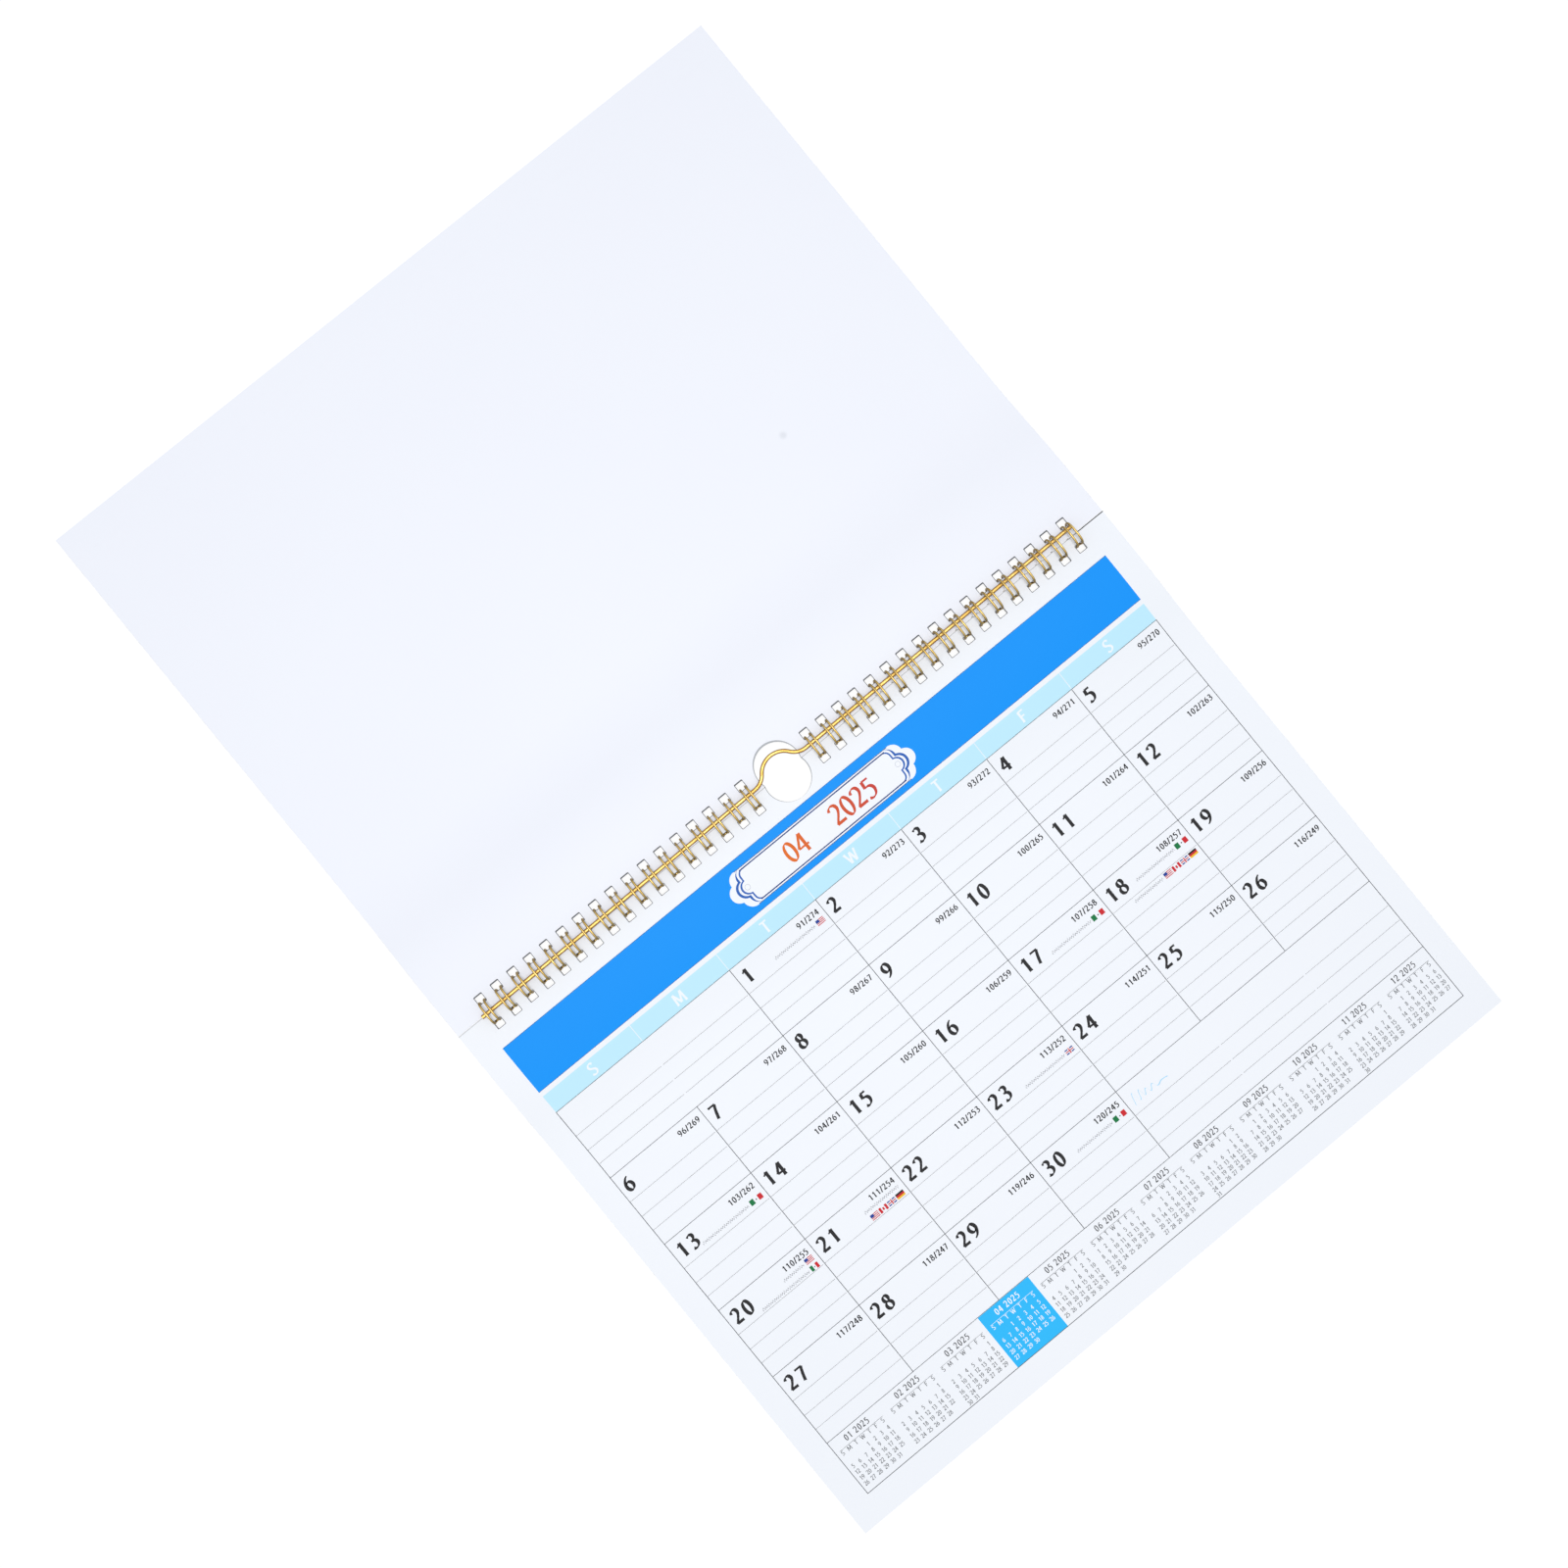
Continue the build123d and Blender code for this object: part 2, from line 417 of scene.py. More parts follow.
hole_rim_shade = crushed_paper("cut_edge_painted_shade", (104, 106, 112), (88, 90, 96))
# Painted shadow along the bound edge, going over to dark towards its right end.
seam_line_shadow = crushed_paper("bound_edge_painted_shadow", (206, 209, 214), (58, 60, 64), bound_line_dark)
thumb_cut_shade = crushed_paper("thumb_edge_painted_shade", (172, 176, 182), (184, 188, 192))
on_shown = ("shown_month", shown_top, lower_side, lower_drop)
on_turned = ("turned_over", turned_top, upper_side, upper_drop)
add_rims("shown_leaf_cut_edges", hole_rims(rim_width), True, hole_rim_shade, *on_shown)
add_rims("turned_leaf_cut_edges", hole_rims(far_rim_width), True, hole_rim_shade, *on_turned)
add_rims("shown_leaf_thumb_edge", [thumb_rim(shown_thumb_far_width)], False, thumb_cut_shade, *on_shown)
add_rims("turned_leaf_thumb_edge", [thumb_rim(turned_thumb_far_width)], False, thumb_cut_shade, *on_turned)
add_rims("shown_leaf_bound_edge", bound_lines(), False, seam_line_shadow, *on_shown)

# The two wire combs: each is one gold-coated steel wire, bent to and fro into twin loops, pushed
# through the holes and closed round them, so that each loop's rounded tip meets the heel
# that joins it to the next.
hinge_height = frame["joints"][0]["pos_m"][2] / mm
wire_radius = 0.45
wire_roundness = 4
wire_weld_gap = 0.001
loop_depth = 5.7
loop_rise = 5.0
loop_side = 5.1
loop_fullness = 2.6
loop_half_width = 1.25
loop_steps = 43
heel_bend = 0.9
bend_steps = 4
heel_angle = radians(228)
tip_angle = radians(212 + 360)
lacquer_patch_scale = 260.0
draw_mark_scale = 1600.0


def gold_coat(name, side, thin, thick):
    """Thin gold lacquer over steel, patchy in tone, with painted shade: browner on its sides than above and
    below.
    """
    material, tree, shader = new_material(name)
    shader.inputs["Metallic"].default_value = 1.0
    place = tree.nodes.new("ShaderNodeTexCoord")
    patches = grain(tree, place, lacquer_patch_scale, detail=4.0)
    tones = tree.nodes.new("ShaderNodeValToRGB")
    for stop, position, colour in zip(tones.color_ramp.elements, (0.36, 0.62), (thin, thick)):
        stop.position = position
        stop.color = shade(*colour)
    tree.links.new(patches, tones.inputs["Fac"])
    facing = tree.nodes.new("ShaderNodeSeparateXYZ")
    tree.links.new(place.outputs["Normal"], facing.inputs["Vector"])
    either_way = tree.nodes.new("ShaderNodeMath")
    either_way.operation = "ABSOLUTE"
    tree.links.new(facing.outputs["Z"], either_way.inputs[0])
    # Painted shade: where the normal lies flat, on the wire's sides, the colour goes over to the darker side
    # colour.
    unshaded_share = graded(tree, either_way.outputs["Value"], start=0.5, end=0.95, interpolation="SMOOTHSTEP")
    lacquer = mixed(tree, shade(*side), tones.outputs["Color"], unshaded_share)
    wear = graded(tree, patches, start=0.3, end=0.7, low=0.48, high=0.38)
    tree.links.new(lacquer, shader.inputs["Base Color"])
    tree.links.new(wear, shader.inputs["Roughness"])
    relief(tree, grain(tree, place, draw_mark_scale, detail=2.0), strength=0.15, depth=0.01)
    return material


def round_wire(points, radius):
    """The mesh of a round wire along a line of points, in millimetres, with flat cut ends."""
    run = bpy.data.curves.new("run", "CURVE")
    run.dimensions = "3D"
    run.bevel_depth = radius
    run.bevel_resolution = wire_roundness
    run.use_fill_caps = True
    line = run.splines.new("POLY")
    line.points.add(len(points) - 1)
    for knot, point in zip(line.points, points):
        knot.co = (*point, 1)
    carrier = bpy.data.objects.new("run", run)
    mesh = bpy.data.meshes.new_from_object(carrier)
    bpy.data.objects.remove(carrier)
    bpy.data.curves.remove(run)
    body = bmesh.new()
    body.from_mesh(mesh)
    bmesh.ops.remove_doubles(body, verts=body.verts, dist=wire_weld_gap)
    bmesh.ops.transform(body, matrix=Matrix.Scale(mm, 4), verts=body.verts)
    bmesh.ops.recalc_face_normals(body, faces=body.faces)
    bpy.data.meshes.remove(mesh)
    return body


def half_loop(place, side):
    """One wire of a twin loop, a little pressed down from above, from mid-heel round to its tip."""
    start = heel_angle + heel_bend / loop_depth
    end = tip_angle - loop_half_width / loop_depth
    quarter = [step / bend_steps * pi / 2 for step in range(bend_steps + 1)]
    half = [(loop_pitch / 2, heel_angle)]
    for turn in quarter:
        half.append((loop_half_width + heel_bend - heel_bend * sin(turn),
                     heel_angle + heel_bend * (1 - cos(turn)) / loop_depth))
    for step in range(1, loop_steps + 1):
        half.append((loop_half_width, start + step / loop_steps * (end - start)))
    for turn in quarter[1:]:
        half.append((loop_half_width * cos(turn), end + loop_half_width * sin(turn) / loop_depth))
    points = []
    for along, angle in half:
        across = cos(angle) / loop_side
        rise = sin(angle) / (loop_rise if sin(angle) > 0 else loop_depth)
        reach = (abs(across) ** loop_fullness + abs(rise) ** loop_fullness) ** (-1 / loop_fullness)
        points.append((place + side * along, reach * cos(angle), hinge_height + reach * sin(angle)))
    return points


# The first colour is the painted shade of the wire's sides.
gold = gold_coat("gold_wire", (150, 124, 70), (194, 162, 94), (218, 188, 114))
for name, node, places in (("left_comb_wire", "left_wire_comb", [-place for place in reversed(loop_places)]),
                           ("right_comb_wire", "right_wire_comb", loop_places)):
    line = []
    # Up to each tip and back down the other side, with one point where two runs meet.
    for place in places:
        line += half_loop(place, -1)[1 if line else 0:] + half_loop(place, 1)[-2::-1]
    add_piece(name, round_wire(line, wire_radius), gold, "bound_block", "wire", node)

# The hanger: a thicker straight wire inside the loops, lying a little askew, and bent up into a
# round nose over the thumb cut, where it goes over a nail.
rod_radius = 0.85
rod_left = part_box("hanger")[0].x / mm
rod_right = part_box("hanger")[1].x / mm
rod_skew = radians(0.58)
rod_offset = 1.5
nose_height = 6.7
nose_half_width = 13.5
nose_steps = 12
crown_half_width = 7.25
nose_bend = 2 * atan2(nose_height, nose_half_width)
crown_radius = crown_half_width / sin(nose_bend)
foot_radius = (nose_half_width - crown_half_width) / sin(nose_bend)

half_nose = []
for step in range(nose_steps + 1):
    turn = step / nose_steps * nose_bend
    half_nose.append((-nose_half_width + foot_radius * sin(turn), foot_radius * (1 - cos(turn))))
for step in range(1, nose_steps + 1):
    turn = (1 - step / nose_steps) * nose_bend
    half_nose.append((-crown_radius * sin(turn), nose_height - crown_radius * (1 - cos(turn))))
nose = half_nose + [(-x, y) for x, y in reversed(half_nose[:-1])]
rod_line = [(rod_left, 0.0), *nose, (rod_right, 0.0)]
rod = round_wire([(x * cos(rod_skew) - y * sin(rod_skew), rod_offset + x * sin(rod_skew) + y * cos(rod_skew),
                   hinge_height) for x, y in rod_line], rod_radius)
# The first colour is the painted shade of the rod's sides.
rod_gold = gold_coat("gold_rod", (124, 80, 36), (214, 170, 90), (228, 192, 114))
add_piece("hanger_rod", rod, rod_gold, "hanger_wire", "hanger_wire", "hanger")

# The print on the shown leaf: flat inks laid one on another, each a closed skin a few hundredths
# of a millimetre thick. First the solid fields: the blue title band, the pale weekday strip
# and the bright field behind the month on show at the foot.
side_margin = 10.75
foot_margin = 11.6
foot_strip_height = 26.3
print_left = -sheet_width / 2 + side_margin
print_right = -print_left
print_width = print_right - print_left
band_top = 14.9
band_bottom = 37.9
band_edge_width = 0.2
band_speck = (50.3, -24.4, 1.5, 0.6, (20, 70, 190))
strip_top = 40.0
strip_bottom = 48.3
strip_gap = 0.25
columns = 7
rows = 5
months = 12
month_on_show = 4
year_on_show = 2025
column_width = print_width / columns
foot_bottom = sheet_height - foot_margin
foot_top = foot_bottom - foot_strip_height
row_height = (foot_top - strip_bottom) / rows
month_width = print_width / months
line_width = 0.27
row_line_width = 0.22
ink_air = 0.005
first_ink = shown_top + ink_air
ink_step = 0.02
ink_thickness = 0.014
under_print = 0
over_print = 1
top_print = 2


def press_shape(body, corners, layer):
    """Prints a flat shape, a closed line of (x, reach) points, on the shown leaf."""
    low = first_ink + layer * ink_step
    cut_flat(body, [corners], low, low + ink_thickness, lower_side, lower_drop)


def press_field(body, left_side, right_side, top, bottom, layer):
    """Prints a rectangle on the shown leaf, its top and bottom measured from the binding."""
    press_shape(body, [(left_side, top), (right_side, top), (right_side, bottom), (left_side, bottom)], layer)


def printing_ink(name, colour, second, specks=(), fade=None):
    return paper(name, colour, second, roughness=0.5, fibre_size=0.35, fibre_depth=0.003, gloss=0.1,
                 specks=specks, fade=fade)


band = bmesh.new()
press_field(band, print_left, print_right, band_top, band_bottom, under_print)
band_ink = printing_ink("strong_blue", (20, 152, 251), (16, 149, 250), [band_speck])
add_piece("title_band_ink", band, band_ink, "shown_month", "blue_ink", "title_band")

band_edges = bmesh.new()
for level in (band_top, band_bottom - band_edge_width):
    press_field(band_edges, print_left, print_right, level, level + band_edge_width, over_print)
band_edge_ink = printing_ink("edge_blue", (40, 92, 160), (48, 100, 170))
add_piece("title_band_edges", band_edges, band_edge_ink, "shown_month", "blue_ink")

strip = bmesh.new()
for column in range(columns):
    left = print_left + column * column_width
    press_field(strip, left + strip_gap / 2, left + column_width - strip_gap / 2, strip_top, strip_bottom,
                under_print)
strip_ink = printing_ink("pale_blue", (197, 238, 255), (190, 235, 255))
add_piece("weekday_strip_ink", strip, strip_ink, "shown_month", "pale_blue_ink", "weekday_strip")

highlight = bmesh.new()
month_left = print_left + (month_on_show - 1) * month_width
press_field(highlight, month_left, month_left + month_width, foot_top + line_width, foot_bottom - line_width,
            under_print)
highlight_ink = printing_ink("bright_blue", (50, 189, 252), (46, 184, 250))
add_piece("month_highlight_ink", highlight, highlight_ink, "shown_month", "bright_blue_ink",
          "month_highlight")

# The grid of thin grey rules round the days. The first two fields of the first row and the last
# three of the last row have no rule between them.
blank_first_columns = 2
notes_columns = 3
grid = bmesh.new()
for row in range(rows + 1):
    level = strip_bottom + row * row_height
    press_field(grid, print_left, print_right, level, level + row_line_width, over_print)
press_field(grid, print_left, print_right, foot_bottom - line_width, foot_bottom, over_print)
for column in range(columns + 1):
    x = print_left + column * (print_width - line_width) / columns
    top = strip_bottom + row_line_width
    bottom = foot_top
    if 0 < column < blank_first_columns:
        top += row_height
    if columns - notes_columns < column < columns:
        bottom -= row_height
    if column in (0, columns):
        bottom = foot_bottom - line_width
    press_field(grid, x, x + line_width, top, bottom, over_print)
grid_ink = printing_ink("rule_grey", (88, 90, 95), (76, 78, 82))
add_piece("grid_rules", grid, grid_ink, "shown_month", "line_ink", "grid_lines")

# The figures. Each is drawn with the strokes of a broad pen held at a slant, thick downwards and
# thin across, and spreads a little at its ends, like the type on the real leaf.
pen_slant = radians(20)
end_flare = 1.14
stroke_lift = 0.075
usual_width = 0.6
figure_strokes = {
    "0": [(0.30, 0.49, 0.205, 0.475)],
    "1": [[(0.34, 0.98), (0.34, 0.0)], [(0.12, 0.78), (0.24, 0.86), (0.34, 0.97)]],
    "2": [[(0.08, 0.77), (0.13, 0.90), (0.27, 0.975), (0.41, 0.92), (0.47, 0.76), (0.44, 0.60), (0.34, 0.42),
           (0.20, 0.23), (0.07, 0.04)], [(0.07, 0.035), (0.53, 0.035)], [(0.11, 0.09), (0.54, 0.09)]],
    "3": [[(0.09, 0.87), (0.17, 0.95), (0.28, 0.975), (0.40, 0.91), (0.43, 0.77), (0.37, 0.63), (0.26, 0.55),
           (0.18, 0.53)],
          [(0.18, 0.53), (0.31, 0.52), (0.44, 0.44), (0.49, 0.28), (0.43, 0.11), (0.29, 0.015), (0.16, 0.02),
           (0.07, 0.08)]],
    "4": [[(0.40, 0.97), (0.05, 0.31)], [(0.05, 0.31), (0.58, 0.31)], [(0.42, 0.98), (0.42, 0.0)]],
    "5": [[(0.17, 0.935), (0.49, 0.935)], [(0.175, 0.94), (0.145, 0.57)],
          [(0.145, 0.57), (0.25, 0.60), (0.38, 0.57), (0.47, 0.46), (0.49, 0.30), (0.43, 0.12), (0.31, 0.02),
           (0.18, 0.01), (0.07, 0.07)]],
    "6": [[(0.46, 0.965), (0.31, 0.87), (0.18, 0.70), (0.10, 0.47), (0.10, 0.24), (0.19, 0.07), (0.31, 0.015),
           (0.43, 0.08), (0.50, 0.24), (0.48, 0.42), (0.39, 0.55), (0.27, 0.58), (0.15, 0.50)]],
    "7": [[(0.06, 0.93), (0.54, 0.93)], [(0.52, 0.93), (0.37, 0.52), (0.23, 0.0)]],
    "8": [(0.30, 0.75, 0.16, 0.21), (0.30, 0.27, 0.21, 0.25)],
    "/": [[(0.04, -0.04), (0.34, 1.02)]],
    "S": [[(0.48, 0.88), (0.34, 0.98), (0.18, 0.94), (0.08, 0.78), (0.14, 0.60), (0.30, 0.51), (0.46, 0.40),
           (0.51, 0.22), (0.40, 0.05), (0.22, 0.01), (0.06, 0.11)]],
    "M": [[(0.10, 0.98), (0.05, 0.0)], [(0.10, 0.98), (0.42, 0.12)], [(0.74, 0.98), (0.42, 0.12)],
          [(0.74, 0.98), (0.80, 0.0)]],
    "T": [[(0.02, 0.95), (0.60, 0.95)], [(0.31, 0.95), (0.31, 0.0)]],
    "W": [[(0.02, 0.98), (0.25, 0.02)], [(0.25, 0.02), (0.46, 0.90)], [(0.46, 0.90), (0.67, 0.02)],
          [(0.67, 0.02), (0.90, 0.98)]],
    "F": [[(0.12, 0.98), (0.12, 0.0)], [(0.12, 0.95), (0.52, 0.95)], [(0.12, 0.52), (0.44, 0.52)]],
}
figure_strokes["9"] = [[(0.59 - u, 0.98 - v) for u, v in figure_strokes["6"][0]]]
figure_widths = {"/": 0.40, " ": 0.30, "S": 0.57, "M": 0.86, "T": 0.62, "W": 0.92, "F": 0.56}


def press_ribbon(body, near_line, far_line, layer, closed=False):
    """Prints a band of ink between two lines of (x, reach) points."""
    level = first_ink + layer * ink_step
    lay_ribbon(body, near_line, far_line, level, ink_thickness, lower_side, lower_drop, closed)


def press_bar(body, left_side, right_side, top, bottom, layer):
    """Prints a small rectangle, in as few faces as it can have."""
    near_line = [(left_side, top), (right_side, top)]
    far_line = [(left_side, bottom), (right_side, bottom)]
    press_ribbon(body, near_line, far_line, layer)


def between(a, b, c, d, t):
    """A value on a smooth curve, a share t of the way from b to c, with a before them and d after."""
    bend = 2 * a - 5 * b + 4 * c - d
    twist = 3 * b - a - 3 * c + d
    return (2 * b + (c - a) * t + bend * t**2 + twist * t**3) / 2


def through_points(points, steps):
    """A smooth line through a stroke's points."""
    if len(points) == 2:
        return [tuple(a + (b - a) * step / steps for a, b in zip(*points)) for step in range(steps + 1)]
    ends = [points[0], *points, points[-1]]
    line = []
    for knots in zip(ends, ends[1:], ends[2:], ends[3:]):
        for step in range(steps):
            line.append(tuple(between(*values, step / steps) for values in zip(*knots)))
    return line + [points[-1]]


def text_width(text, height, stretch, spacing):
    return sum(figure_widths.get(letter, usual_width) + spacing for letter in text) * height * stretch


def write(body, text, x, reach, height, layer, thick, thin, steps, stretch=1.0, align=0.0, spacing=0.0):
    """Prints figures with their foot at a reach. Align 0 starts them at x, and 1 ends them there."""
    x -= align * text_width(text, height, stretch, spacing)
    for letter in text:
        for count, shape in enumerate(figure_strokes.get(letter, [])):
            closed = isinstance(shape, tuple)
            if closed:
                u, v, wide, high = shape
                round_steps = 5 * steps
                turns = [turn / round_steps * 2 * pi for turn in range(round_steps)]
                line = [(u + wide * cos(turn), v + high * sin(turn)) for turn in turns]
            else:
                line = through_points(shape, steps)
            upper, lower = [], []
            last = len(line) - 1
            for index, (u, v) in enumerate(line):
                if closed:
                    before, after = line[index - 1], line[(index + 1) % len(line)]
                else:
                    before, after = line[max(index - 1, 0)], line[min(index + 1, last)]
                heading = atan2(after[1] - before[1], (after[0] - before[0]) * stretch)
                half = (thin + (thick - thin) * abs(sin(heading - pen_slant))) / 2
                if not closed and index in (0, last):
                    half *= end_flare
                for side, edge in ((1, upper), (-1, lower)):
                    edge.append((x + (u * stretch - side * half * sin(heading)) * height,
                                 reach - (v + side * half * cos(heading)) * height))
            press_ribbon(body, upper, lower, layer + count * stroke_lift, closed)
        x += text_width(letter, height, stretch, spacing)


def add_print(name, body, ink, slot_name):
    bmesh.ops.recalc_face_normals(body, faces=body.faces)
    add_piece(name, body, ink, "shown_month", slot_name)


# The title plaque: a white bar with rounded corners and a round lobe at each end, ruled in blue
# just inside its edge, with a small ring at each end, and the month and year in orange to red.
plaque_place = -1.2
plaque_top = 18.85
plaque_bottom = 35.35
plaque_middle = (plaque_top + plaque_bottom) / 2
plaque_steps = 8
widest_sine = 0.999
ring_place = 39.4
ring_radii = (1.25, 1.05)
ring_steps = 16
title_height = 8.4
title_month_end = -9.6
title_year_start = 3.2
title_fade = (-24, 26)
title_pen = {"thick": 0.17, "thin": 0.055, "stretch": 1.12, "steps": 8}

# Each line of the plaque is given by its half width, half height and corner, and by how far its
# lobes reach and their radius. A side rule has a half length and its two edges from the middle.
plaque_edge = (44.4, (plaque_bottom - plaque_top) / 2, 4.2, 47.6, 4.0)
inner_rule = ((39.5, 7.45, 2.8, 42.25, 3.2), (38.8, 6.93, 2.2, 41.45, 2.7))
end_rule = ((41.35, 8.2, 4.2, 44.35, 4.0), (40.35, 8.2, 3.2, 43.25, 3.2))
side_rule_sizes = ((38.0, 6.94, 7.44), (40.0, 8.0, 8.24))
side_rule_print = top_print + 0.2


def plaque_quarter(half_width, half_height, corner, lobe_reach, lobe_radius):
    """A quarter of one of the plaque's lines, from the tip of the lobe to the long side."""
    lobe_centre = lobe_reach - lobe_radius
    opening = asin(min(widest_sine, sqrt(max(0.0, 1 - ((half_width - lobe_centre) / lobe_radius) ** 2))))
    if half_width < lobe_centre:
        opening = pi - opening
    across = half_width - corner
    upward = half_height - corner
    shares = [step / plaque_steps for step in range(plaque_steps + 1)]
    lobe_arc = [(lobe_centre + lobe_radius * cos(share * opening), lobe_radius * sin(share * opening))
                for share in shares]
    corner_arc = [(across + corner * cos(share * pi / 2), upward + corner * sin(share * pi / 2))
                  for share in shares]
    return lobe_arc + corner_arc


def plaque_line(sizes):
    """A line right round the plaque."""
    quarter = plaque_quarter(*sizes)
    upper = quarter + [(-x, v) for x, v in reversed(quarter)]
    whole = upper + [(x, -v) for x, v in reversed(upper[1:-1])]
    return [(plaque_place + x, plaque_middle - v) for x, v in whole]


def plaque_end(end, sizes):
    """A line round one end of the plaque, from long side to long side."""
    quarter = plaque_quarter(*sizes)
    whole = quarter[::-1] + [(x, -v) for x, v in quarter[1:]]
    return [(plaque_place + end * x, plaque_middle - v) for x, v in whole]


plaque = bmesh.new()
press_shape(plaque, plaque_line(plaque_edge), over_print)
plaque_ink = printing_ink("plaque_white", (246, 249, 255), (243, 247, 255))
add_piece("title_plaque_ink", plaque, plaque_ink, "shown_month", "plaque_ink", "title_plaque")

rules = bmesh.new()
press_ribbon(rules, *(plaque_line(sizes) for sizes in inner_rule), top_print, closed=True)
plaque_rings = bmesh.new()
ring_turns = [turn / ring_steps * 2 * pi for turn in range(ring_steps)]
for end in (-1, 1):
    press_ribbon(rules, *(plaque_end(end, sizes) for sizes in end_rule), top_print)
    ring_lines = [[(plaque_place + end * ring_place + radius * cos(turn), plaque_middle + radius * sin(turn))
                   for turn in ring_turns] for radius in ring_radii]
    press_ribbon(plaque_rings, *ring_lines, top_print, closed=True)
side_rules = bmesh.new()
for side in (-1, 1):
    for half_length, near, far in side_rule_sizes:
        press_bar(side_rules, plaque_place - half_length, plaque_place + half_length,
                  plaque_middle + side * near, plaque_middle + side * far, side_rule_print)
ring_ink = printing_ink("ring_grey", (198, 203, 212), (206, 210, 218))
rule_ink = printing_ink("plaque_blue", (46, 96, 180), (52, 104, 188))
side_rule_ink = printing_ink("plaque_dark_blue", (52, 70, 122), (60, 78, 130))
add_print("plaque_rings", plaque_rings, ring_ink, "line_ink")
add_print("plaque_rules", rules, rule_ink, "blue_ink")
add_print("plaque_side_rules", side_rules, side_rule_ink, "blue_ink")

title = bmesh.new()
title_foot = plaque_middle + title_height / 2
write(title, f"{month_on_show:02d}", title_month_end, title_foot, title_height, top_print, align=1.0,
      **title_pen)
write(title, str(year_on_show), title_year_start, title_foot, title_height, top_print, **title_pen)
title_ink = printing_ink("title_orange", (230, 116, 40), (200, 68, 60), fade=title_fade)
add_print("title_figures", title, title_ink, "plaque_ink")

# The weekday heads: white initials left open in the pale strip, and a line of small white
# stitches between one head and the next. The month on show is white in the same way.
initials = "SMTWTFS"
initial_height = 5.1
initial_foot_drop = 2.5
initial_foot = (strip_top + strip_bottom) / 2 + initial_foot_drop
initial_pen = {"thick": 0.19, "thin": 0.09, "stretch": 1.1, "align": 0.5, "steps": 5}
stitches = 9
stitch_start = 0.3
stitch_pitch = 0.9
stitch_length = 0.5
stitch_half_width = 0.15
white_print = bmesh.new()
for column, initial in enumerate(initials):
    left = print_left + column * column_width
    write(white_print, initial, left + column_width / 2, initial_foot, initial_height, over_print,
          **initial_pen)
    if column:
        for stitch in range(stitches):
            top = strip_top + stitch_start + stitch * stitch_pitch
            press_bar(white_print, left - stitch_half_width, left + stitch_half_width, top,
                      top + stitch_length, over_print)

# The days: a bold figure at the left of each field, the days gone and to come in small figures
# at its right, and three dotted lines to write on.
numeral_height = 6.2
numeral_indent = 2.4
numeral_drop = 3.35
numeral_pen = {"thick": 0.24, "thin": 0.075, "stretch": 1.12, "steps": 6, "spacing": 0.2}
count_height = 2.5
count_indent = 1.8
count_drop = 4.2
count_pen = {"thick": 0.2, "thin": 0.1, "stretch": 1.08, "align": 1.0, "steps": 3, "spacing": 0.11}
writing_drops = (12.65, 20.15, 27.35)
dash_indent = 0.1
dash_length = 0.56
dash_pitch = 0.75
dash_width = 0.2
first_weekday, days = calendar.monthrange(year_on_show, month_on_show)
first_column = (first_weekday + 1) % columns
days_before = sum(calendar.monthrange(year_on_show, month)[1] for month in range(1, month_on_show))
days_in_year = sum(calendar.monthrange(year_on_show, month)[1] for month in range(1, months + 1))


def day_corner(day):
    """The upper left corner of a day's field."""
    row, column = divmod(day - 1 + first_column, columns)
    return print_left + column * column_width, strip_bottom + row * row_height


day_figures = bmesh.new()
day_counts = bmesh.new()
writing_lines = bmesh.new()
for day in range(1, days + 1):
    left, top = day_corner(day)
    write(day_figures, str(day), left + numeral_indent, top + numeral_drop + numeral_height, numeral_height,
          over_print, **numeral_pen)
    gone = days_before + day
    write(day_counts, f"{gone}/{days_in_year - gone}", left + column_width - count_indent,
          top + count_drop + count_height / 2, count_height, over_print, **count_pen)
for row in range(rows):
    for column in range(columns):
        left = print_left + column * column_width + line_width + dash_indent
        for drop in writing_drops:
            level = strip_bottom + row * row_height + drop
            for dash in range(int((column_width - line_width) / dash_pitch)):
                x = left + dash * dash_pitch
                press_bar(writing_lines, x, x + dash_length, level, level + dash_width, over_print)
figure_ink = printing_ink("figure_black", (36, 36, 38), (48, 48, 50))
count_ink = printing_ink("count_grey", (24, 24, 27), (36, 36, 40))
dot_ink = printing_ink("dot_grey", (140, 142, 144), (152, 154, 156))
add_print("day_figures", day_figures, figure_ink, "line_ink")
add_print("day_counts", day_counts, count_ink, "line_ink")
add_print("writing_lines", writing_lines, dot_ink, "line_ink")

# The marked days: some days have small fields of banded colour at their right, one or four in a
# row, and a fine grey wave beside them or above them.
narrow_flag = 3.9
broad_flag = 6.1
flag_height = 2.4
flag_gap = 0.5
mark_indent = 1.9
band_lift = 0.1
wave_step = 0.3
wave_height = 0.8
wave_turn = 1.9
wave_beat = 0.7
wave_swell = 0.3
wave_width = 0.38
mark_colours = {"green": (30, 120, 70), "red": (205, 44, 52), "blue": (40, 66, 150), "black": (40, 40, 40),
                "yellow": (240, 190, 50)}

